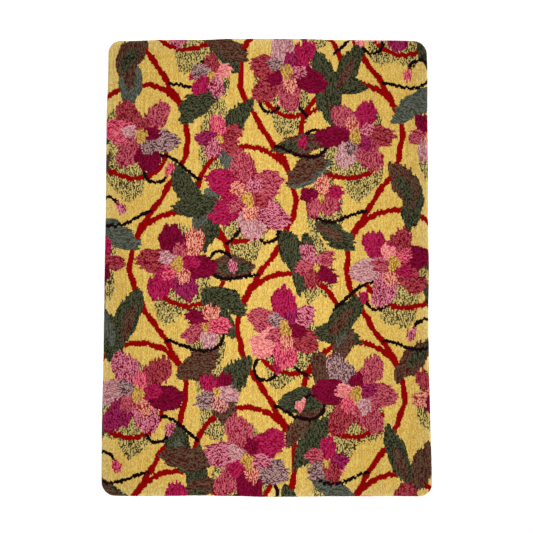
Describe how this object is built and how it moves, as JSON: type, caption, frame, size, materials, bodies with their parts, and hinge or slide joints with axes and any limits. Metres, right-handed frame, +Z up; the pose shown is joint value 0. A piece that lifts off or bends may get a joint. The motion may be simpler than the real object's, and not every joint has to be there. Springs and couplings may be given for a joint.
{
  "type": "tufted rug",
  "caption": "Flat rectangular tufted rug with rounded corners and short dense cut pile in a flower, leaf and stem pattern. It lies on a floor.",
  "frame": {"origin": "centre of the flat underside, in the plane of the surface that the rug lies on", "axes": "+Z up out of the pile, +Y along the length towards the head end, +X across the width"},
  "size_m": [1.211, 1.7056, 0.015],
  "materials": {
    "pile": "short dense cut wool pile, matt",
    "backing": "plain woven cotton canvas, matt"
  },
  "bodies": {
    "root": {"rug": "pile"}
  },
  "joints": []
}
